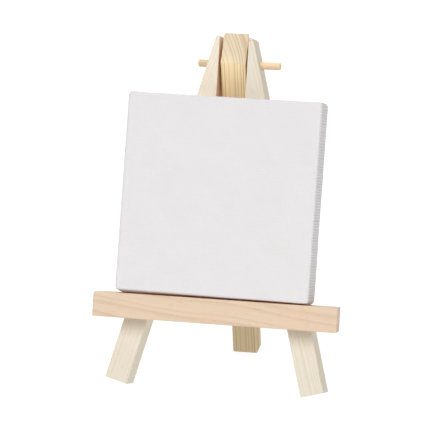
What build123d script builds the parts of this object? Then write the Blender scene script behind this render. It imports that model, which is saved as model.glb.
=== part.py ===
"""Tabletop wooden artist easel with a small stretched canvas on its ledge.

Millimetres, +Z up, +X to the right and +Y to the back as a viewer stands in front of it.
The origin is the bottom centre of the bounding box, on the surface the easel stands on.
"""
from build123d import *
from math import cos, radians, sin, tan
import os

# front frame: two splayed legs whose common plane leans back
frame_lean = 17.3
leg_splay = 15.05
leg_width = 12.2
leg_depth = 13.0
leg_length = 185.4
foot_half_gap = 45.9
head_half_gap = 7.7
leg_edge_radius = 0.45
leg_shoulder_radius = 2.6

# rear leg, hung between the heads of the front legs
rear_lean = 6.9
rear_width = 13.1
rear_depth = 10.5
rear_tip_above_pin = 2.3
rear_bevel_angle = 39.5
rear_edge_radius = 0.45

# hinge dowel
pin_diameter = 3.8
pin_height = 167.9
pin_left_end = 19.5
pin_right_end = 23.8
pin_end_chamfer = 0.35
running_clearance = 0.05

# canvas ledge
ledge_length = 128.0
ledge_height = 12.8
ledge_depth = 15.0
ledge_bottom = 34.5
ledge_end_angle = 6.5
ledge_edge_radius = 0.8
ledge_from_centre_plane = 1.5
ledge_left_corner_radius = 1.3
ledge_right_corner_radius = 0.9

# brads that hold the ledge, driven through the front legs from behind
brad_diameter = 1.2
brad_length = 20.0
brad_head_diameter = 2.2
brad_head_thickness = 0.4
brad_spacing = 6.4

# stretched canvas
canvas_width = 101.3
canvas_height = 102.3
canvas_front = 14.9
canvas_back = 0.6
canvas_bottom_gap = 0.1
canvas_from_centre_plane = -0.65
canvas_tilt = 0.6
cloth_thickness = 0.5
cloth_flange = 9.0
cloth_edge_radius = 1.4
bar_width = 13.0
bar_bead_width = 3.0
bar_relief = 1.2

# wire staples
wire_width = 0.8
wire_thickness = 0.35
staple_crown = 6.0
staple_leg = 5.0
staple_inset = 5.0
staples_per_side = 3
staple_spacing = 27.0
corner_staple_crown = 7.0
corner_staple_inset = 5.4

# the easel stands on the inner rear corners of the front feet and the front edge of the rear foot
foot_lift = leg_depth * sin(radians(frame_lean))
pin_depth = leg_depth / 2
pin_y = pin_height * sin(radians(frame_lean)) + pin_depth * cos(radians(frame_lean))
pin_z = pin_height * cos(radians(frame_lean)) - pin_depth * sin(radians(frame_lean)) + foot_lift
rear_foot_below_pin = (pin_z - rear_depth / 2 * sin(radians(rear_lean))) / cos(radians(rear_lean))
rear_foot_y = (
    pin_y
    + rear_foot_below_pin * sin(radians(rear_lean))
    + rear_depth / 2 * cos(radians(rear_lean))
)
ledge_front_y = (
    ledge_bottom * sin(radians(frame_lean))
    - ledge_depth * cos(radians(frame_lean))
)
ledge_rounding_y = ledge_edge_radius * (cos(radians(frame_lean)) + sin(radians(frame_lean)) - 1)
y_offset = -(ledge_front_y + ledge_rounding_y + rear_foot_y) / 2
x_offset = -ledge_from_centre_plane


def on_frame(shape):
    """Lean a solid drawn upright (X across, Y depth, Z up the frame) back with the front frame."""
    return Pos(x_offset, y_offset, foot_lift) * Rot(-frame_lean, 0, 0) * shape


def on_rear_leg(shape):
    """Place a solid drawn about the hinge pin, upright, on the rear leg's own lean."""
    return Pos(x_offset, y_offset + pin_y, pin_z) * Rot(rear_lean, 0, 0) * shape


def cross_pin(radius, length, height=0.0, depth=0.0):
    """A cylinder along X, centred on the given height and depth."""
    return Pos(0, depth, height) * Rot(0, 90, 0) * Cylinder(radius, length)


def front_leg(side):
    """One front leg: a square-cut stick, splayed, with its inner face cut upright at the head."""
    stick = Box(leg_width, leg_depth, leg_length, align=(Align.MIN, Align.MIN, Align.MIN))
    stick = fillet(stick.edges().filter_by(Axis.Z), leg_edge_radius)
    if side > 0:
        crown = stick.edges().filter_by(Axis.Y).sort_by(Axis.Z)[-2:].sort_by(Axis.X)[-1]
        stick = fillet(crown, leg_shoulder_radius)
    leg = Pos(foot_half_gap, 0, 0) * Rot(0, -leg_splay, 0) * stick
    if side < 0:
        leg = mirror(leg, about=Plane.YZ)
    head_gap = Box(2 * head_half_gap, 3 * leg_depth, 3 * leg_length)
    leg = leg - head_gap
    leg = leg - cross_pin(pin_diameter / 2, 2 * ledge_length, pin_height, pin_depth)
    return on_frame(leg)


def brad_places():
    """Middle of the crossing of the ledge and each front leg, one place above, one below."""
    middle = ledge_bottom + ledge_height / 2
    x = foot_half_gap + leg_width / 2 / cos(radians(leg_splay)) - middle * tan(radians(leg_splay))
    return [
        (side * x, middle + step * brad_spacing / 2)
        for side in (-1, 1)
        for step in (-1, 1)
    ]


def brads():
    """Four headed brads through the front legs into the ledge."""
    shapes = []
    for x, height in brad_places():
        shank = Pos(x, leg_depth - brad_length / 2, height) * Rot(90, 0, 0)
        shank = shank * Cylinder(brad_diameter / 2, brad_length)
        head = Pos(x, leg_depth - brad_head_thickness / 2, height) * Rot(90, 0, 0)
        head = head * Cylinder(brad_head_diameter / 2, brad_head_thickness)
        shapes.append(on_frame(shank + head))
    return shapes


def runs_through_ledge(edge):
    """Whether an edge of the ledge runs from its front to its back."""
    return abs(edge.center().Y + ledge_depth / 2) < ledge_edge_radius / 10


def ledge():
    """The ledge: eased front edges, ends sawn a few degrees out of square, two rounded corners."""
    stick = Box(
        ledge_length, ledge_depth, ledge_height, align=(Align.CENTER, Align.MAX, Align.MIN)
    )
    half = ledge_length / 2
    inner_half = half - ledge_depth * tan(radians(ledge_end_angle))
    outline = Polyline(
        (-half, -ledge_depth), (half, -ledge_depth), (inner_half, 0), (-inner_half, 0), close=True
    )
    stick = stick & extrude(make_face(outline), ledge_height)
    ends = stick.edges().filter_by(runs_through_ledge)
    top_left = ends.group_by(Axis.Z)[-1].sort_by(Axis.X)[0]
    stick = fillet(top_left, ledge_left_corner_radius)
    ends = stick.edges().filter_by(runs_through_ledge)
    bottom_right = ends.group_by(Axis.Z)[0].sort_by(Axis.X)[-1]
    stick = fillet(bottom_right, ledge_right_corner_radius)
    front_edges = stick.edges().filter_by(
        lambda edge: abs(edge.center().Y + ledge_depth) < ledge_edge_radius / 10
    )
    stick = fillet(front_edges, ledge_edge_radius)
    rear_long_edges = stick.edges().filter_by(Axis.X).group_by(Axis.Y)[-1]
    stick = fillet(rear_long_edges, ledge_edge_radius / 2)
    return on_frame(Pos(ledge_from_centre_plane, 0, ledge_bottom) * stick)


def hinge_dowel():
    """The hinge pin: tight in the front legs, a running fit in the rear leg."""
    rod = cross_pin(pin_diameter / 2, pin_left_end + pin_right_end)
    rod = chamfer(rod.edges(), pin_end_chamfer)
    middle = (pin_right_end - pin_left_end) / 2
    return on_frame(Pos(middle, pin_depth, pin_height) * rod)


def rear_leg():
    """The rear leg: a stick with a long bevel across the front of its head."""
    bevel_rise = rear_depth / tan(radians(rear_bevel_angle))
    top = rear_tip_above_pin + bevel_rise
    stick = Pos(0, 0, (top - rear_foot_below_pin) / 2) * Box(
        rear_width, rear_depth, top + rear_foot_below_pin
    )
    stick = fillet(stick.edges().filter_by(Axis.Z), rear_edge_radius)
    half = rear_depth / 2
    wedge_outline = Polyline(
        (-half, rear_tip_above_pin), (half, top), (-3 * half, top), close=True
    )
    wedge = extrude(Plane.YZ * make_face(wedge_outline), rear_width, both=True)
    stick = stick - wedge
    stick = stick - cross_pin(pin_diameter / 2 + running_clearance, 2 * rear_width)
    return on_rear_leg(stick)


def on_canvas(shape):
    """Place a solid drawn about the middle of the canvas's lower edge (Y = 0 on the frame)."""
    rise = canvas_width / 2 * sin(radians(canvas_tilt))
    foot = ledge_bottom + ledge_height + canvas_bottom_gap + rise
    return on_frame(Pos(canvas_from_centre_plane, 0, foot) * Rot(0, canvas_tilt, 0) * shape)


def canvas_block(inset, front_radius):
    """A block the size of the canvas, drawn in by inset all round, its front edges rounded."""
    depth = canvas_front - canvas_back - 2 * inset
    block = Box(
        canvas_width - 2 * inset,
        depth,
        canvas_height - 2 * inset,
        align=(Align.CENTER, Align.MIN, Align.MIN),
    )
    block = Pos(0, -canvas_front + inset, inset) * block
    front = block.faces().sort_by(Axis.Y)[0]
    return fillet(front.edges(), front_radius)


def stretcher_bar(index):
    """One mitred stretcher bar: 0 bottom, 1 right, 2 top, 3 left, its front eased inwards."""
    upright = index % 2 == 1
    along = canvas_height if upright else canvas_width
    across = canvas_width if upright else canvas_height
    back = -canvas_back - cloth_thickness
    front = -canvas_front + cloth_thickness
    outer = -across / 2 + cloth_thickness
    inner = -across / 2 + bar_width
    section = Polyline(
        (back, outer),
        (front, outer),
        (front, outer + bar_bead_width),
        (front + bar_relief, inner),
        (back, inner),
        close=True,
    )
    bar = extrude(Plane.YZ * make_face(section), along, both=True)
    reach = across / 2
    mitre = Polyline(
        (-along / 2, -reach), (along / 2, -reach), (along / 2 - reach, 0), (-along / 2 + reach, 0),
        close=True,
    )
    bar = bar & extrude(Plane.XZ * make_face(mitre), 4 * canvas_front, both=True)
    bar = Pos(0, 0, canvas_height / 2) * Rot(0, -90 * index, 0) * bar
    bar = bar & canvas_block(cloth_thickness, cloth_edge_radius - cloth_thickness)
    return bar


def staple(crown, depth):
    """A wire staple drawn flat: its crown lies along X on the plane Y = depth, legs to the front."""
    back = Box(crown, wire_thickness, wire_width, align=(Align.CENTER, Align.MIN, Align.CENTER))
    shape = back
    for side in (-1, 1):
        leg = Box(wire_width, staple_leg, wire_width, align=(Align.CENTER, Align.MAX, Align.CENTER))
        shape = shape + Pos(side * (crown - wire_width) / 2, 0, 0) * leg
    return Pos(0, depth, 0) * shape


def cloth_staples():
    """The staples that hold the turned-over cloth, evenly spaced along each side."""
    shapes = []
    for index in range(4):
        upright = index % 2 == 1
        across = canvas_width if upright else canvas_height
        for place in range(staples_per_side):
            x = (place - (staples_per_side - 1) / 2) * staple_spacing
            flat = Pos(x, 0, -across / 2 + staple_inset) * staple(staple_crown, -canvas_back)
            shapes.append(Pos(0, 0, canvas_height / 2) * Rot(0, -90 * index, 0) * flat)
    return shapes


def corner_staples():
    """One staple across each mitre, sunk flush in the bars under the turned-over cloth."""
    shapes = []
    depth = -canvas_back - cloth_thickness - wire_thickness
    for side in (-1, 1):
        for end in (-1, 1):
            x = side * (canvas_width / 2 - corner_staple_inset)
            z = canvas_height / 2 + end * (canvas_height / 2 - corner_staple_inset)
            turned = Rot(0, 45 * side * end, 0) * staple(corner_staple_crown, depth)
            shapes.append(Pos(x, 0, z) * turned)
    return shapes


def canvas_cloth(staples):
    """The cloth: front, four sides and the border turned over behind the bars."""
    cloth = canvas_block(0, cloth_edge_radius)
    cloth = cloth - canvas_block(cloth_thickness, cloth_edge_radius - cloth_thickness)
    window = Box(
        canvas_width - 2 * cloth_flange,
        2 * cloth_thickness,
        canvas_height - 2 * cloth_flange,
    )
    cloth = cloth - Pos(0, -canvas_back - cloth_thickness / 2, canvas_height / 2) * window
    for item in staples:
        cloth = cloth - item
    return cloth


def write(name, shape):
    """Write one piece, or one group of like pieces, as parts/NAME.step."""
    if isinstance(shape, list):
        shape = Compound(children=shape)
    export_step(shape, f"parts/{name}.step")


def main():
    os.makedirs("parts", exist_ok=True)
    nails = brads()
    front_pieces = {
        "left_front_leg": front_leg(-1),
        "right_front_leg": front_leg(1),
        "canvas_ledge": ledge(),
    }
    for name, shape in front_pieces.items():
        for nail in nails:
            shape = shape - nail
        write(name, shape)
    write("ledge_brads", nails)
    write("hinge_dowel", hinge_dowel())
    write("rear_leg", rear_leg())

    tacks = cloth_staples()
    corners = corner_staples()
    for index, name in enumerate(("bottom", "right", "top", "left")):
        bar = stretcher_bar(index)
        for item in tacks + corners:
            bar = bar - item
        write(f"stretcher_{name}_bar", on_canvas(bar))
    write("canvas_cloth", on_canvas(canvas_cloth(tacks)))
    write("cloth_staples", [on_canvas(item) for item in tacks])
    write("corner_staples", [on_canvas(item) for item in corners])


if __name__ == "__main__":
    main()
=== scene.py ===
from math import cos, pi, radians, sin

import bmesh
import bpy
from bpy.props import FloatProperty, FloatVectorProperty, PointerProperty
from mathutils import Matrix, Vector, noise


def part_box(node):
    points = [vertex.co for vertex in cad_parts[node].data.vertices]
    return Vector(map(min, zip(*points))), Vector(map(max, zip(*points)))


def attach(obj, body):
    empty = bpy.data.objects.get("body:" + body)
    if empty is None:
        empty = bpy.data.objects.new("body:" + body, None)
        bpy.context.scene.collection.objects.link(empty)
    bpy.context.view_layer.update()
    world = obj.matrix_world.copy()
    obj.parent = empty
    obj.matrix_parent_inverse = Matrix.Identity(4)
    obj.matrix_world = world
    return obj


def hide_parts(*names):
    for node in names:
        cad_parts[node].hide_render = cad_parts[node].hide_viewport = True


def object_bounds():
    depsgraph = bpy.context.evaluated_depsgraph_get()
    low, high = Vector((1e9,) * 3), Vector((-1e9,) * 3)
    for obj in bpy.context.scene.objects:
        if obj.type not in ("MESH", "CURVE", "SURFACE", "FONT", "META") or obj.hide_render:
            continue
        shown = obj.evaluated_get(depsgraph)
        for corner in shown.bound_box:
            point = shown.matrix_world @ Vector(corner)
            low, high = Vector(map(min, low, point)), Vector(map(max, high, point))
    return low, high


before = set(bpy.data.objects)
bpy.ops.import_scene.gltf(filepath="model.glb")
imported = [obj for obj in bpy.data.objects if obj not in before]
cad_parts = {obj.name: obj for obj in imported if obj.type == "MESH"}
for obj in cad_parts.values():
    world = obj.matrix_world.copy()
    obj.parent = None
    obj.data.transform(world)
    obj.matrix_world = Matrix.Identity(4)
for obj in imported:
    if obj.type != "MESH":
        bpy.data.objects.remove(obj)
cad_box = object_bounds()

bl_info = {
    "name": "Tabletop easel",
    "version": (1, 0, 0),
    "blender": (4, 5, 0),
    "location": "3D View > Sidebar > Easel",
    "description": "Finishes the wood, cloth and steel of a tabletop easel with a small canvas",
    "category": "Object",
}

MM = 0.001


# ---------------------------------------------------------------- settings


def length(name, description, default):
    """A length that shows in the sidebar, in the scene's own unit."""
    return FloatProperty(
        name=name, description=description, default=default, min=0.0, unit="LENGTH", precision=4
    )


def colour(name, description, default):
    """A colour that shows in the sidebar as a swatch."""
    return FloatVectorProperty(
        name=name, description=description, default=default, size=3, min=0.0, max=1.0,
        subtype="COLOR",
    )


def amount(name, description, default, most=10.0):
    """A plain number that shows in the sidebar."""
    return FloatProperty(name=name, description=description, default=default, min=0.0, max=most)


def angle(name, description, default):
    """An angle that shows in the sidebar in degrees."""
    return FloatProperty(
        name=name, description=description, default=radians(default), subtype="ANGLE"
    )


class EaselWoodSettings(bpy.types.PropertyGroup):
    """Colours of each stick: the soft early wood, and the harder late wood of each ring."""

    leg_pale: colour("Leg", "Early wood of the front legs", (0.71, 0.655, 0.55))
    leg_late: colour("Leg rings", "Late wood of the front legs", (0.58, 0.465, 0.32))
    ledge_pale: colour("Ledge", "Early wood of the ledge", (0.685, 0.535, 0.4))
    ledge_late: colour("Ledge rings", "Late wood of the ledge", (0.54, 0.35, 0.19))
    rear_pale: colour("Rear leg", "Early wood of the rear leg", (0.84, 0.69, 0.44))
    rear_late: colour("Rear leg rings", "Late wood of the rear leg", (0.5, 0.29, 0.09))
    dowel_pale: colour("Dowel", "Early wood of the hinge dowel", (0.75, 0.575, 0.37))
    dowel_late: colour("Dowel rings", "Late wood of the hinge dowel", (0.52, 0.31, 0.135))
    bar_pale: colour("Bars", "Early wood of the stretcher bars", (0.64, 0.54, 0.38))
    bar_late: colour("Bar rings", "Late wood of the stretcher bars", (0.48, 0.34, 0.18))


class EaselLeanSettings(bpy.types.PropertyGroup):
    """Angles at which the sticks stand."""

    frame_lean: angle("Frame lean", "Lean of the front frame and the canvas", 17.3)
    leg_splay: angle("Leg splay", "Splay of each front leg in the frame", 15.05)
    rear_lean: angle("Rear leg lean", "Forward lean of the rear leg", 6.9)
    canvas_tilt: angle("Canvas tilt", "How far the canvas is tipped clockwise on its ledge", 0.6)


class EaselClothSettings(bpy.types.PropertyGroup):
    """Sizes and colours of the stretched cloth."""

    width: length("Width", "Width of the stretched canvas", 101.3 * MM)
    height: length("Height", "Height of the stretched canvas", 102.3 * MM)
    depth: length("Depth", "Depth of the stretched canvas", 14.3 * MM)
    border: length("Border", "Cloth turned over behind the bars", 9.0 * MM)
    thickness: length("Thickness", "Thickness of the primed cloth", 0.5 * MM)
    corner_round: length("Corner", "Roundness of the four corners seen from the front", 2.2 * MM)
    edge_round: length("Edge", "Roundness of the front edges", 1.7 * MM)
    fold: length("Fold", "Step where the cloth is folded at each corner", 0.3 * MM)
    primer: colour("Primer", "White ground on the outside of the cloth", (0.735, 0.715, 0.72))
    cotton: colour("Cotton", "Bare cotton inside the cloth", (0.6, 0.535, 0.41))


class EaselSteelSettings(bpy.types.PropertyGroup):
    """Colours of the staples and brads."""

    staple: colour("Staples", "Galvanised wire of the staples", (0.62, 0.62, 0.61))
    brad: colour("Brads", "Bright steel of the brads", (0.56, 0.55, 0.53))


class EaselStageSettings(bpy.types.PropertyGroup):
    """Floor, lights and camera."""

    floor_size: length("Floor", "Side of the square floor", 12.0)
    floor_colour: colour("Floor colour", "Colour of the pale floor", (0.22, 0.22, 0.22))
    floor_glow: amount("Floor glow", "Light that comes up from the floor", 0.87)
    key_light: amount("Key light", "Strength of the large light in front", 2.02)
    top_light: amount("Top light", "Strength of the light above the back", 1.0)
    side_light: amount("Side light", "Strength of the soft light on the right", 0.82)
    back_light: amount("Back light", "Strength of the light behind the object", 1.1)
    sky_light: amount("Fill", "Strength of the light from all round", 0.15)
    view_azimuth: angle("Azimuth", "How far the camera stands to the right", 14.36)
    view_elevation: angle("Elevation", "How far the camera looks down", 16.66)
    view_roll: angle("Roll", "How far the camera is tipped clockwise", 0.71)
    view_distance: length("Distance", "Distance of the camera from what it looks at", 1.231)


# ---------------------------------------------------------------- shader helpers


class Wire:
    """An output of a shader node. Sums written on wires add the Math nodes for them."""

    def __init__(self, finish, socket):
        self.finish = finish
        self.socket = socket

    def maths(self, operation, first, second=0.0):
        return self.finish.node("ShaderNodeMath", {"operation": operation}, {0: first, 1: second})

    def __add__(self, other):
        return self.maths("ADD", self, other)

    def __radd__(self, other):
        return self.maths("ADD", other, self)

    def __sub__(self, other):
        return self.maths("SUBTRACT", self, other)

    def __rsub__(self, other):
        return self.maths("SUBTRACT", other, self)

    def __mul__(self, other):
        return self.maths("MULTIPLY", self, other)

    def __rmul__(self, other):
        return self.maths("MULTIPLY", other, self)

    def __truediv__(self, other):
        return self.maths("DIVIDE", self, other)

    def __abs__(self):
        return self.maths("ABSOLUTE", self)

    def sine(self):
        return self.maths("SINE", self)

    def root(self):
        return self.maths("SQRT", self)

    def fraction(self):
        return self.maths("FRACT", self)

    def whole(self):
        return self.maths("FLOOR", self)

    def eased(self, low, high):
        """0 below low, 1 above high, and a smooth step between them."""
        return self.finish.node(
            "ShaderNodeMapRange",
            {"interpolation_type": "SMOOTHSTEP"},
            {"Value": self, "From Min": low, "From Max": high},
        )


class Finish:
    """A material under construction, with its Principled shader."""

    def __init__(self, name, **constants):
        self.material = bpy.data.materials.new(name)
        self.material.use_nodes = True
        self.tree = self.material.node_tree
        self.shader = self.tree.nodes["Principled BSDF"]
        for socket, value in constants.items():
            self.shader.inputs[socket.replace("_", " ").title()].default_value = value

    def node(self, kind, settings=None, sockets=None, output=0):
        """Adds a node: its settings first, then the values or wires of its sockets."""
        made = self.tree.nodes.new(kind)
        for name, value in (settings or {}).items():
            if name == "stops":
                self.set_stops(made.color_ramp, value)
            else:
                setattr(made, name, value)
        for key, value in (sockets or {}).items():
            if isinstance(value, Wire):
                self.tree.links.new(value.socket, made.inputs[key])
            else:
                made.inputs[key].default_value = value
        return Wire(self, made.outputs[output])

    def set_stops(self, ramp, stops):
        """Gives a ramp its stops: pairs of a place and a grey."""
        while len(ramp.elements) < len(stops):
            ramp.elements.new(1.0)
        for element, (place, grey) in zip(ramp.elements, stops):
            element.position = place
            element.color = (grey, grey, grey, 1.0)

    def drive(self, socket, wire):
        """Links a wire to a socket of the Principled shader."""
        self.tree.links.new(wire.socket, self.shader.inputs[socket])

    def blend(self, factor, first, second, how="MIX"):
        """Mixes two colours. A colour is a wire, or three numbers."""
        settings = {"data_type": "RGBA", "blend_type": how, "clamp_factor": True}
        colours = [c if isinstance(c, Wire) else (*c, 1.0) for c in (first, second)]
        sockets = {0: factor, 6: colours[0], 7: colours[1]}
        return self.node("ShaderNodeMix", settings, sockets, output=2)

    def brighten(self, tint, level):
        """Multiplies a colour by a grey level."""
        grey = self.node("ShaderNodeCombineColor", None, {0: level, 1: level, 2: level})
        return self.blend(1.0, tint, grey, "MULTIPLY")

    def cloud(self, place, stretch, detail=2.0, shift=0.0):
        """Smooth noise from 0 to 1, stretched by a factor for each axis."""
        stretched = self.node(
            "ShaderNodeVectorMath",
            {"operation": "MULTIPLY_ADD"},
            {0: place, 1: stretch, 2: (shift, shift, shift)},
        )
        sockets = {"Vector": stretched, "Scale": 1.0, "Detail": detail}
        return self.node("ShaderNodeTexNoise", None, sockets)

    def relief(self, height, depth):
        """Turns a height from 0 to 1 into a bump of that depth in metres."""
        sockets = {"Height": height, "Strength": 1.0, "Distance": depth}
        self.drive("Normal", self.node("ShaderNodeBump", None, sockets))

    def laid_along(self, centre, turn):
        """Position in millimetres on a stick: across, through and along it."""
        place = self.node("ShaderNodeTexCoord", None, None, output="Object")
        return self.node(
            "ShaderNodeMapping",
            {"vector_type": "TEXTURE"},
            {0: place, 1: centre, 2: turn, 3: (MM, MM, MM)},
        )


# ---------------------------------------------------------------- wood

# Brown of the painted shade laid on slanting cuts.
SLANT_SHADE_BROWN = (0.66, 0.33, 0.15)
WARMER = (1.02, 0.955, 0.89)
CUT_RING_SHADE = 0.6
HALF_STICK = 80.0


def wood(name, centre, turn, pale, late, pith, drift, ring, contrast=1.0, wander=1.0,
         line=0.8, flecks=0.5, shift=0.0, roughness=0.62, tone_and_painted_light=(1.0, 1.0), sawn=0.5,
         slant_shade=0.0, sawn_tint=(1.04, 1.12, 1.27)):
    """Softwood cut from a tree whose heart lies at pith, across and through the stick.

    centre and turn place the stick, pale and late are its two colours, drift is how far the
    heart strays for each millimetre along it, ring the width of a year, contrast how much the
    rings show, wander how far they bend, line where the late wood starts, flecks the share of
    short dark fibres, shift a different piece of the same board, tone_and_painted_light the
    brightness at the foot and at the head of the stick, partly the wood's own colour and partly
    painted light and shade, sawn how much a cut across the fibres takes the tint sawn_tint, and
    slant_shade how much painted shade, in brown, lies on a slanting cut.
    """
    finish = Finish(name, roughness=roughness)
    place = finish.laid_along(centre, turn)
    split = {output: finish.node("ShaderNodeSeparateXYZ", None, {0: place}, output=output)
             for output in range(3)}
    across, through, along = split[0], split[1], split[2]
    bend = finish.cloud(place, (0.07, 0.07, 0.014), 1.0, shift)
    side = across - along * drift[0] - pith[0]
    back = through - along * drift[1] - pith[1]
    radius = (side * side + back * back).root() + (bend - 0.5) * (4.0 * wander)
    unevenness = finish.node("ShaderNodeTexNoise", {"noise_dimensions": "1D"},
                             {"W": radius * 0.21 + shift, "Scale": 1.0, "Detail": 1.0})
    years = radius / ring + unevenness * 1.6
    band = finish.node(
        "ShaderNodeValToRGB",
        {"stops": ((0.0, 0.12), (0.18, 0.0), (line - 0.22, 0.12), (line, 0.8), (line + 0.12, 1.0),
                   (1.0, 0.12))},
        {0: years.fraction()},
    )
    year_strength = finish.node("ShaderNodeTexWhiteNoise", {"noise_dimensions": "1D"},
                                {"W": years.whole() + shift})
    fibre = finish.cloud(place, (2.6, 2.6, 0.045), 3.0, shift)
    hair = finish.cloud(place, (7.0, 7.0, 0.13), 2.0, shift + 5.0)
    cells = finish.cloud(place, (2.6, 2.6, 2.6), 2.0, shift + 9.0)
    tint = finish.cloud(place, (0.05, 0.05, 0.03), 2.0, shift + 3.0)
    fleck = finish.cloud(place, (3.4, 3.4, 0.28), 1.0, shift + 7.0).eased(0.66, 0.74)

    stick_axis = turn.to_matrix() @ Vector((0, 0, 1))
    facing = finish.node("ShaderNodeTexCoord", None, None, output="Normal")
    crossing = abs(finish.node("ShaderNodeVectorMath", {"operation": "DOT_PRODUCT"},
                               {0: facing, 1: stick_axis}, output="Value"))
    end = crossing.eased(0.4, 0.95)

    late_share = band * (year_strength * 0.5 + 0.6) * contrast
    late_share = late_share * (fibre * 0.7 + 0.65)
    fuzz = [min(1.0, part * factor) for part, factor in zip(pale, sawn_tint)]
    greyed = [part * CUT_RING_SHADE for part in pale]
    early = finish.blend(end * sawn, pale, fuzz)
    colour_of_wood = finish.blend(late_share, early, finish.blend(end * 0.8, late, greyed))
    # Painted shade: slanting cut faces, such as the legs' inner faces at their heads, are laid over
    # with brown.
    if slant_shade:
        slanting = crossing.eased(0.16, 0.22) * (1.0 - crossing.eased(0.3, 0.4)) * slant_shade
        colour_of_wood = finish.blend(slanting, colour_of_wood, SLANT_SHADE_BROWN)
    warm = [min(1.0, part * factor) for part, factor in zip(pale, WARMER)]
    colour_of_wood = finish.blend(tint.eased(0.42, 0.72) * (1.0 - late_share) * 0.7,
                                  colour_of_wood, warm)
    level = 0.93 + fibre * 0.08 + hair * 0.06
    # Brightness that runs from foot to head: partly the wood's own colour, partly painted light and
    # shade.
    level = level * (tone_and_painted_light[0] + along.eased(-HALF_STICK, HALF_STICK) * (tone_and_painted_light[1] - tone_and_painted_light[0]))
    level = level * (1.0 - fleck * (0.16 * flecks))
    open_cells = cells.eased(0.5, 0.68) * 0.2
    level = level * (1.0 - end * open_cells)
    finish.drive("Base Color", finish.brighten(colour_of_wood, level))
    finish.drive("Roughness", roughness + 0.06 * hair - 0.09 * late_share + 0.1 * end)
    height = 0.35 * late_share + 0.45 * fibre + 0.35 * hair - 0.4 * fleck - end * cells * 0.5
    finish.relief(height, 0.07 * MM)
    return finish.material


def dress(node, material):
    """Gives a carried-over node its finish, through its object's material slots."""
    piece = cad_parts[node]
    for slot in piece.material_slots:
        slot.material = material


def middle_of(node):
    """Middle of a node's box, in metres."""
    low, high = (Vector(corner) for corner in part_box(node))
    return (low + high) / 2


def leant(lean, swing=0.0):
    """Turn of a stick that leans back by lean and swings sideways in the leaning plane."""
    turned = Matrix.Rotation(-lean, 3, "X") @ Matrix.Rotation(swing, 3, "Y")
    return turned.to_euler()


class EASEL_OT_front_legs(bpy.types.Operator):
    """Give the two splayed legs their pale pine"""

    bl_idname = "easel.front_legs"
    bl_label = "Front legs"

    def execute(self, context):
        tones = context.scene.easel_wood
        leans = context.scene.easel_lean
        looks = (
            # The last number brightens each leg towards its head: partly the wood's own colour,
            # partly painted light.
            ("left_front_leg", 1, (26.0, 14.0), (0.02, 0.015), 1.15, 1.7, 1.11),
            ("right_front_leg", -1, (-30.0, 12.0), (-0.03, 0.01), 1.35, 8.1, 1.03),
        )
        for node, side, pith, drift, ring, shift, head in looks:
            # The legs' slanting cuts take painted shade in brown.
            material = wood(
                f"{node}_pine", middle_of(node), leant(leans.frame_lean, side * leans.leg_splay),
                tones.leg_pale, tones.leg_late, pith, drift, ring,
                contrast=0.42, wander=0.5, flecks=0.9, shift=shift, tone_and_painted_light=(1.0, head), slant_shade=0.7,
            )
            dress(node, material)
        return {"FINISHED"}


class EASEL_OT_ledge(bpy.types.Operator):
    """Give the canvas ledge its rosy pine, with the grain running along it"""

    bl_idname = "easel.ledge"
    bl_label = "Canvas ledge"

    def execute(self, context):
        tones = context.scene.easel_wood
        leans = context.scene.easel_lean
        turn = leant(leans.frame_lean, pi / 2)
        material = wood(
            "ledge_pine", middle_of("canvas_ledge"), turn, tones.ledge_pale, tones.ledge_late,
            pith=(13.0, 9.0), drift=(0.035, 0.05), ring=2.6, contrast=0.55, wander=1.2,
            line=0.72, flecks=1.0, shift=3.3,
        )
        dress("canvas_ledge", material)
        return {"FINISHED"}


class EASEL_OT_rear_leg(bpy.types.Operator):
    """Give the rear leg its strongly ringed pine"""

    bl_idname = "easel.rear_leg"
    bl_label = "Rear leg"

    def execute(self, context):
        tones = context.scene.easel_wood
        leans = context.scene.easel_lean
        # The rear leg is darker at its foot: partly the wood's own colour, partly painted shade
        # from the canvas and ledge above it.
        material = wood(
            "rear_leg_pine", middle_of("rear_leg"), leant(-leans.rear_lean),
            tones.rear_pale, tones.rear_late, pith=(-26.0, -18.0), drift=(0.0, 0.0), ring=1.9,
            contrast=0.88, wander=0.35, line=0.82, flecks=0.5, shift=6.4, tone_and_painted_light=(0.76, 1.09),
            sawn=1.1, sawn_tint=(0.5, 0.6, 0.9),
        )
        dress("rear_leg", material)
        return {"FINISHED"}


class EASEL_OT_dowel(bpy.types.Operator):
    """Give the hinge dowel its orange-tan wood"""

    bl_idname = "easel.dowel"
    bl_label = "Hinge dowel"

    def execute(self, context):
        tones = context.scene.easel_wood
        # The dowel is darker at its left end: partly the wood's own colour, partly painted shade.
        material = wood(
            "dowel_wood", middle_of("hinge_dowel"), leant(0.0, pi / 2),
            tones.dowel_pale, tones.dowel_late, pith=(9.0, 5.0), drift=(0.01, 0.0), ring=1.3,
            contrast=0.7, wander=0.3, flecks=0.8, shift=2.2, roughness=0.55,
            tone_and_painted_light=(0.82, 1.22),
        )
        dress("hinge_dowel", material)
        return {"FINISHED"}


class EASEL_OT_stretcher_bars(bpy.types.Operator):
    """Give the four mitred bars their wood, each from another board"""

    bl_idname = "easel.stretcher_bars"
    bl_label = "Stretcher bars"

    def execute(self, context):
        tones = context.scene.easel_wood
        leans = context.scene.easel_lean
        looks = (
            ("stretcher_bottom_bar", pi / 2, (-15.0, 24.0), 2.1, 11.0),
            ("stretcher_right_bar", 0.0, (20.0, 16.0), 2.5, 12.5),
            ("stretcher_top_bar", pi / 2, (12.0, -26.0), 1.8, 14.2),
            ("stretcher_left_bar", 0.0, (-18.0, 21.0), 2.3, 16.9),
        )
        for node, swing, pith, ring, shift in looks:
            material = wood(
                f"{node}_wood", middle_of(node), leant(leans.frame_lean, swing + leans.canvas_tilt),
                tones.bar_pale, tones.bar_late, pith, (0.02, 0.03), ring,
                contrast=0.8, wander=0.9, flecks=0.7, shift=shift,
            )
            dress(node, material)
        return {"FINISHED"}


# ---------------------------------------------------------------- steel

TARNISH = (0.30, 0.21, 0.14)


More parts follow.
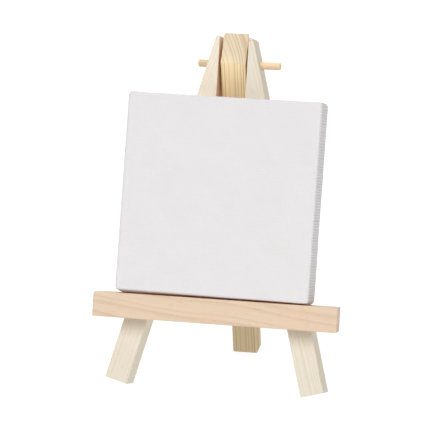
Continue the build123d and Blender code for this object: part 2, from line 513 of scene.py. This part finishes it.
def steel(name, tint, roughness):
    """Drawn wire: fine scratches, dull patches and a little brown tarnish."""
    finish = Finish(name, metallic=1.0)
    place = finish.laid_along(Vector((0, 0, 0)), Matrix.Identity(3).to_euler())
    patches = finish.cloud(place, (0.9, 0.9, 0.9), 3.0, 1.0)
    scratches = finish.cloud(place, (9.0, 9.0, 9.0), 2.0, 4.0)
    tarnish = patches.eased(0.56, 0.72) * 0.45
    tinted = finish.blend(tarnish, tint, TARNISH)
    finish.drive("Base Color", finish.brighten(tinted, 0.86 + scratches * 0.2))
    finish.drive("Roughness", roughness + patches * 0.2 + scratches * 0.1)
    finish.relief(scratches, 0.02 * MM)
    return finish.material


class EASEL_OT_fixings(bpy.types.Operator):
    """Give the staples and the brads their drawn steel"""

    bl_idname = "easel.fixings"
    bl_label = "Staples and brads"

    def execute(self, context):
        tones = context.scene.easel_steel
        staple_wire = steel("staple_wire", tones.staple, 0.24)
        dress("cloth_staples", staple_wire)
        dress("corner_staples", staple_wire)
        dress("ledge_brads", steel("brad_steel", tones.brad, 0.3))
        return {"FINISHED"}


# ---------------------------------------------------------------- cloth

THREAD = 0.72 * MM
UPRIGHT_CORD = 1.17 * MM
HUSK_BROWN = (0.36, 0.25, 0.13)
# Red-brown of the painted shade where the cloth stands on the ledge.
CREVICE_SHADE_BROWN = (0.42, 0.16, 0.08)
CELL = 2.0 * MM
CUT_REACH = 1e-7
MERGE_REACH = 0.03 * MM
SLIVER = 0.01 * MM
CREASE_LINE = 0.4 * MM
FOLD_SLOPE = 0.55 * MM
SKIN = 0.3 * MM
REST_SAG = 0.09 * MM
SIDE_FULLNESS = 0.22 * MM
FRONT_HOLLOW = 0.07 * MM


def weave(finish):
    """Height of a plain weave, the shade between its cords on the sides, and the cloth's own place.

    Both run from 0 to 1. The heavier cords run across the cloth.
    """
    spot = finish.node("ShaderNodeUVMap", {"uv_map": "cloth"})
    across, up = (finish.node("ShaderNodeSeparateXYZ", None, {0: spot}, output=output)
                  for output in (0, 1))
    wobble = finish.cloud(spot, (90.0, 90.0, 1.0), 2.0)
    warp = abs((across * (pi / THREAD) + wobble * 1.4).sine())
    weft = abs((up * (pi / THREAD) + wobble * 1.4).sine())
    cord = (up * (pi / THREAD) + wobble * 2.0).sine() * 0.5 + 0.5
    slub = finish.cloud(spot, (220.0, 2600.0, 1.0), 1.0).eased(0.5, 0.75)
    facing = finish.node("ShaderNodeTexCoord", None, None, output="Normal")
    sideways = abs(finish.node("ShaderNodeSeparateXYZ", None, {0: facing})).eased(0.5, 0.9)
    between = sideways * (1.0 - cord)
    return warp * weft * 0.4 + cord * (0.15 + sideways * 0.7) + slub * 0.15, between, spot


def primed_cloth(tint, width):
    """White ground brushed over cotton: the weave half filled, soft and matt."""
    finish = Finish("primed_cloth", roughness=0.78)
    height, between, spot = weave(finish)
    cover = finish.cloud(spot, (60.0, 60.0, 1.0), 3.0)
    ground_and_shade = finish.blend(cover.eased(0.4, 0.75) * 0.25, tint, [part * 0.975 for part in tint])
    sideways, upward = (finish.node("ShaderNodeSeparateXYZ", None, {0: spot}, output=output)
                        for output in (0, 1))
    # Painted shade: a red-brown line along the lower front edge and the front of the underside,
    # where the cloth stands on the ledge.
    reach = upward + (0.5 - sideways / width) * (3.6 * MM)
    faint = 1.0 - upward.eased(-0.4 * MM, 0.9 * MM)
    strong = 1.0 - reach.eased(0.1 * MM, 0.7 * MM)
    crevice_shade = (faint * 0.2 + strong * 0.75) * upward.eased(-12.0 * MM, -8.0 * MM)
    ground_and_shade = finish.blend(crevice_shade, ground_and_shade, CREVICE_SHADE_BROWN)
    bare = finish.cloud(spot, (150.0, 45.0, 1.0), 1.0, 0.4).eased(0.46, 0.6)
    warp = (sideways * (2 * pi / UPRIGHT_CORD)).sine() * bare
    # Painted shade: the hollows of the weave are darker, and more so between the cords on the
    # sides.
    level = 0.955 + height * 0.06 - between * 0.12 + warp * 0.022
    finish.drive("Base Color", finish.brighten(ground_and_shade, level))
    finish.drive("Roughness", 0.72 + cover * 0.16)
    finish.relief(height * (0.75 + cover * 0.5), 0.2 * MM)
    return finish.material


def raw_cotton(tint):
    """Bare cotton: open weave, cream, with brown specks of seed husk."""
    finish = Finish("raw_cotton", roughness=0.9)
    height, _, spot = weave(finish)
    husk = finish.cloud(spot, (1500.0, 1500.0, 1.0), 1.0).eased(0.72, 0.78)
    specked = finish.blend(husk * 0.6, tint, HUSK_BROWN)
    # Painted shade: the hollows of the weave are darker.
    finish.drive("Base Color", finish.brighten(specked, 0.8 + height * 0.3))
    finish.drive("Roughness", 0.84 + height * 0.1)
    finish.relief(height, 0.2 * MM)
    return finish.material


def cut_at(bm, spot, normal):
    """Cuts the whole mesh by one plane."""
    bmesh.ops.bisect_plane(bm, geom=bm.verts[:] + bm.edges[:] + bm.faces[:], dist=CUT_REACH,
                           plane_co=spot, plane_no=normal)


def cut_sides(bm, spot, normal):
    """Cuts only the top and bottom sides by one plane."""
    level = [f for f in bm.faces if abs(f.normal.z) > 0.9]
    parts = set(level)
    parts.update(e for f in level for e in f.edges)
    parts.update(v for f in level for v in f.verts)
    bmesh.ops.bisect_plane(bm, geom=list(parts), dist=CUT_REACH, plane_co=spot, plane_no=normal)


def cut_every(bm, step, span, normal):
    """Cuts the mesh by planes a step apart, so that it can bend."""
    direction = Vector(normal)
    low, high = span
    for index in range(1, round((high - low) / step)):
        cut_at(bm, direction * (low + index * step), direction)


def wrapped_block(bm, sizes):
    """The outside of the stretched cloth: rounded, and open behind inside its border."""
    width, depth, height = sizes.width, sizes.depth, sizes.height
    bmesh.ops.create_cube(bm, size=1.0)
    bmesh.ops.scale(bm, vec=(width, depth, height), verts=bm.verts)
    bmesh.ops.translate(bm, vec=(0.0, -depth / 2, height / 2), verts=bm.verts)
    corners = [e for e in bm.edges if abs(e.verts[0].co.y - e.verts[1].co.y) > depth / 2]
    rounding = {"affect": "EDGES", "profile": 0.5, "material": -1, "offset_type": "OFFSET"}
    bmesh.ops.bevel(bm, geom=corners, offset=sizes.corner_round, segments=4, **rounding)
    front = [e for e in bm.edges if all(v.co.y < -depth * 0.99 for v in e.verts)]
    bmesh.ops.bevel(bm, geom=front, offset=sizes.edge_round, segments=4, **rounding)
    back = [e for e in bm.edges if all(v.co.y > -depth * 0.01 for v in e.verts)]
    back_round = sizes.edge_round / 3
    bmesh.ops.bevel(bm, geom=back, offset=back_round, segments=2, **rounding)


def open_behind(bm, sizes):
    """Cuts away the middle of the back, and leaves the turned-over border."""
    half = sizes.width / 2 - sizes.border
    low, high = sizes.border, sizes.height - sizes.border
    for x in (-half, half):
        cut_at(bm, Vector((x, 0.0, 0.0)), Vector((1, 0, 0)))
    for z in (low, high):
        cut_at(bm, Vector((0.0, 0.0, z)), Vector((0, 0, 1)))
    middle = []
    for face in bm.faces:
        at = face.calc_center_median()
        if face.normal.y > 0.9 and abs(at.x) < half and low < at.z < high:
            middle.append(face)
    bmesh.ops.delete(bm, geom=middle, context="FACES")


def crease_planes(sizes):
    """The diagonal folds in the top and bottom sides, each with a line just beside it."""
    for side in (-1, 1):
        slope = Vector((side, 1.0, 0.0)).normalized()
        for step in (0.0, CREASE_LINE):
            yield Vector((side * sizes.width / 2, -sizes.depth, 0.0)) - slope * step, slope


def fold_depth(sizes, point):
    """How far a point of the top or bottom side lies under the folded corner, from 0 to 1."""
    beside = sizes.width / 2 - abs(point.x) - (point.y + sizes.depth)
    return min(1.0, max(0.0, beside / FOLD_SLOPE))


def slack(point):
    """Small unevenness of pulled cloth, from -1 to 1."""
    return noise.noise(point * 42.0) + 0.5 * noise.noise(point * 110.0)


def pull_cloth(bm, sizes, tilt):
    """Draws the cloth in between its folds, ripples the sides and lets the lower side sag."""
    half, tall, deep = sizes.width / 2, sizes.height, sizes.depth
    for vert in bm.verts:
        at = vert.co.copy()
        past = at.y + deep
        free = fold_depth(sizes, at)
        if at.z > tall - SKIN:
            vert.co.z -= sizes.fold * free
        elif at.z < SKIN or (at.z < SKIN + sizes.edge_round and past < sizes.edge_round * 1.5):
            near = max(0.0, 1.0 - at.z / (SKIN + sizes.edge_round))
            inside = min(1.0, max(0.0, (past - sizes.edge_round) / (2.2 * MM)))
            lifted = sizes.fold * max(free, 0.35) * (1.0 - inside)
            loose = min(1.0, max(0.0, (half - abs(at.x) - 1.6 * MM) / (1.6 * MM)))
            sag = REST_SAG + (half - at.x) * sin(tilt) * loose
            vert.co.z += (lifted - sag * inside) * near
        if abs(at.x) > half - SKIN:
            fullness = SIDE_FULLNESS * (1.0 + 0.5 * slack(at)) * min(1.0, past / (6.0 * MM))
            vert.co.x += fullness if at.x > 0 else -fullness
        if at.y < -deep + SKIN:
            reach = min(half - abs(at.x), at.z, tall - at.z) / (12.0 * MM)
            vert.co.y += FRONT_HOLLOW * min(1.0, reach) * (1.0 + slack(at * 0.6))


def lay_out_cloth(bm, sizes):
    """Unrolls the cloth: width and height in metres, continued round each side."""
    layer = bm.loops.layers.uv.new("cloth")
    half, tall, deep = sizes.width / 2, sizes.height, sizes.depth
    for face in bm.faces:
        face.smooth = True
        normal = face.normal
        for loop in face.loops:
            at = loop.vert.co
            u, v = at.x, at.z
            past = at.y + deep
            if abs(normal.x) > max(abs(normal.y), abs(normal.z)):
                u = (half + past) * (1 if normal.x > 0 else -1)
            elif abs(normal.z) > abs(normal.y):
                v = tall + past if normal.z > 0 else -past
            loop[layer].uv = (u, v)


def standing_on_ledge(sizes, leans):
    """Moves the cloth from the origin to its place, leaning back and a little tipped."""
    lean, tilt = leans.frame_lean, leans.canvas_tilt
    low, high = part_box("canvas_cloth")
    rise = sizes.width / 2 * sin(tilt)
    foot = Vector((
        (low[0] + high[0]) / 2 - sizes.height / 2 * sin(tilt),
        high[1] - (sizes.height * cos(tilt) + rise) * sin(lean),
        low[2] + rise * cos(lean),
    ))
    turn = Matrix.Rotation(-lean, 4, "X") @ Matrix.Rotation(tilt, 4, "Y")
    return Matrix.Translation(foot) @ turn


class EASEL_OT_canvas_cloth(bpy.types.Operator):
    """Wrap the primed cloth round the stretcher bars"""

    bl_idname = "easel.canvas_cloth"
    bl_label = "Canvas cloth"

    def execute(self, context):
        sizes = context.scene.easel_cloth
        leans = context.scene.easel_lean
        bm = bmesh.new()
        wrapped_block(bm, sizes)
        cut_every(bm, CELL, (-sizes.width / 2, sizes.width / 2), (1, 0, 0))
        cut_every(bm, CELL, (0.0, sizes.height), (0, 0, 1))
        cut_every(bm, CELL, (-sizes.depth, 0.0), (0, 1, 0))
        open_behind(bm, sizes)
        for spot, slope in crease_planes(sizes):
            cut_sides(bm, spot, slope)
        bmesh.ops.remove_doubles(bm, verts=bm.verts, dist=MERGE_REACH)
        bmesh.ops.dissolve_degenerate(bm, edges=bm.edges, dist=SLIVER)
        lay_out_cloth(bm, sizes)
        pull_cloth(bm, sizes, leans.canvas_tilt)
        bmesh.ops.transform(bm, matrix=standing_on_ledge(sizes, leans), verts=bm.verts)
        mesh = bpy.data.meshes.new("stretched_cloth")
        bm.to_mesh(mesh)
        bm.free()
        piece = bpy.data.objects.new("stretched_cloth", mesh)
        context.scene.collection.objects.link(piece)
        mesh.materials.append(primed_cloth(sizes.primer, sizes.width))
        mesh.materials.append(raw_cotton(sizes.cotton))
        wall = piece.modifiers.new("wall", "SOLIDIFY")
        wall.thickness = sizes.thickness
        wall.offset = -1.0
        wall.material_offset = 1
        wall.material_offset_rim = 1
        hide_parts("canvas_cloth")
        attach(piece, "canvas")
        return {"FINISHED"}


# ---------------------------------------------------------------- stage

LENS = 197.8
AIM_PAST_MIDDLE = Vector((-3.17, -14.4, -0.4)) * MM


def far_light(name, strength, azimuth, elevation, spread):
    """A wide, far light that shines from that azimuth and elevation, in degrees."""
    data = bpy.data.lights.new(name, "SUN")
    data.energy = strength
    data.angle = radians(spread)
    light = bpy.data.objects.new(name, data)
    turn, rise = radians(azimuth), radians(elevation)
    source = Vector((sin(turn) * cos(rise), -cos(turn) * cos(rise), sin(rise)))
    light.rotation_euler = source.to_track_quat("Z", "Y").to_euler()
    light.location = source
    bpy.context.scene.collection.objects.link(light)


class EASEL_OT_stage(bpy.types.Operator):
    """Set up the pale floor, the soft lights and the camera"""

    bl_idname = "easel.stage"
    bl_label = "Stage"

    def execute(self, context):
        scene = context.scene
        stage = scene.easel_stage
        bm = bmesh.new()
        bmesh.ops.create_grid(bm, x_segments=1, y_segments=1, size=stage.floor_size / 2)
        mesh = bpy.data.meshes.new("floor")
        bm.to_mesh(mesh)
        bm.free()
        floor = bpy.data.objects.new("floor", mesh)
        scene.collection.objects.link(floor)
        finish = Finish("floor_paper", roughness=1.0)
        finish.shader.inputs["Base Color"].default_value = (*stage.floor_colour, 1.0)
        finish.shader.inputs["Specular IOR Level"].default_value = 0.0
        finish.shader.inputs["Emission Color"].default_value = (1.0, 1.0, 1.0, 1.0)
        finish.shader.inputs["Emission Strength"].default_value = stage.floor_glow
        mesh.materials.append(finish.material)

        world = bpy.data.worlds.new("studio")
        world.use_nodes = True
        background = world.node_tree.nodes["Background"]
        background.inputs["Color"].default_value = (1.0, 1.0, 1.0, 1.0)
        background.inputs["Strength"].default_value = stage.sky_light
        scene.world = world
        scene.view_settings.view_transform = "Standard"
        far_light("key_light", stage.key_light, azimuth=-10.0, elevation=40.0, spread=32.0)
        far_light("top_light", stage.top_light, azimuth=180.0, elevation=76.0, spread=60.0)
        far_light("side_light", stage.side_light, azimuth=80.0, elevation=18.0, spread=70.0)
        far_light("back_light", stage.back_light, azimuth=205.0, elevation=30.0, spread=40.0)

        turn, rise = stage.view_azimuth, stage.view_elevation
        away = Vector((sin(turn) * cos(rise), -cos(turn) * cos(rise), sin(rise)))
        low, high = (Vector(corner) for corner in cad_box)
        aim = (low + high) / 2 + AIM_PAST_MIDDLE
        data = bpy.data.cameras.new("camera")
        data.sensor_width = 36.0
        data.lens = LENS
        data.clip_start = 0.01
        camera = bpy.data.objects.new("camera", data)
        scene.collection.objects.link(camera)
        level = away.to_track_quat("Z", "Y").to_matrix()
        tipped = level @ Matrix.Rotation(-stage.view_roll, 3, "Z")
        camera.rotation_euler = tipped.to_euler()
        camera.location = aim + away * stage.view_distance
        scene.camera = camera
        return {"FINISHED"}


# ---------------------------------------------------------------- add-on


class EASEL_PT_panel(bpy.types.Panel):
    """Settings and steps of the tabletop easel"""

    bl_idname = "EASEL_PT_panel"
    bl_label = "Tabletop easel"
    bl_space_type = "VIEW_3D"
    bl_region_type = "UI"
    bl_category = "Easel"

    def draw(self, context):
        for name in SETTINGS:
            box = self.layout.box()
            group = getattr(context.scene, name)
            for key in group.__annotations__:
                box.prop(group, key)
        for step in STEPS:
            self.layout.operator(step.bl_idname)


SETTINGS = {
    "easel_wood": EaselWoodSettings,
    "easel_lean": EaselLeanSettings,
    "easel_cloth": EaselClothSettings,
    "easel_steel": EaselSteelSettings,
    "easel_stage": EaselStageSettings,
}
STEPS = (
    EASEL_OT_stage,
    EASEL_OT_front_legs,
    EASEL_OT_ledge,
    EASEL_OT_rear_leg,
    EASEL_OT_dowel,
    EASEL_OT_stretcher_bars,
    EASEL_OT_fixings,
    EASEL_OT_canvas_cloth,
)


def register():
    for name, group in SETTINGS.items():
        bpy.utils.register_class(group)
        setattr(bpy.types.Scene, name, PointerProperty(type=group))
    for kind in (*STEPS, EASEL_PT_panel):
        bpy.utils.register_class(kind)


def unregister():
    for kind in reversed((*STEPS, EASEL_PT_panel)):
        bpy.utils.unregister_class(kind)
    for name, group in SETTINGS.items():
        delattr(bpy.types.Scene, name)
        bpy.utils.unregister_class(group)


def main():
    register()
    bpy.ops.easel.stage()
    bpy.ops.easel.front_legs()
    bpy.ops.easel.ledge()
    bpy.ops.easel.rear_leg()
    bpy.ops.easel.dowel()
    bpy.ops.easel.stretcher_bars()
    bpy.ops.easel.fixings()
    bpy.ops.easel.canvas_cloth()


if __name__ == "__main__":
    main()
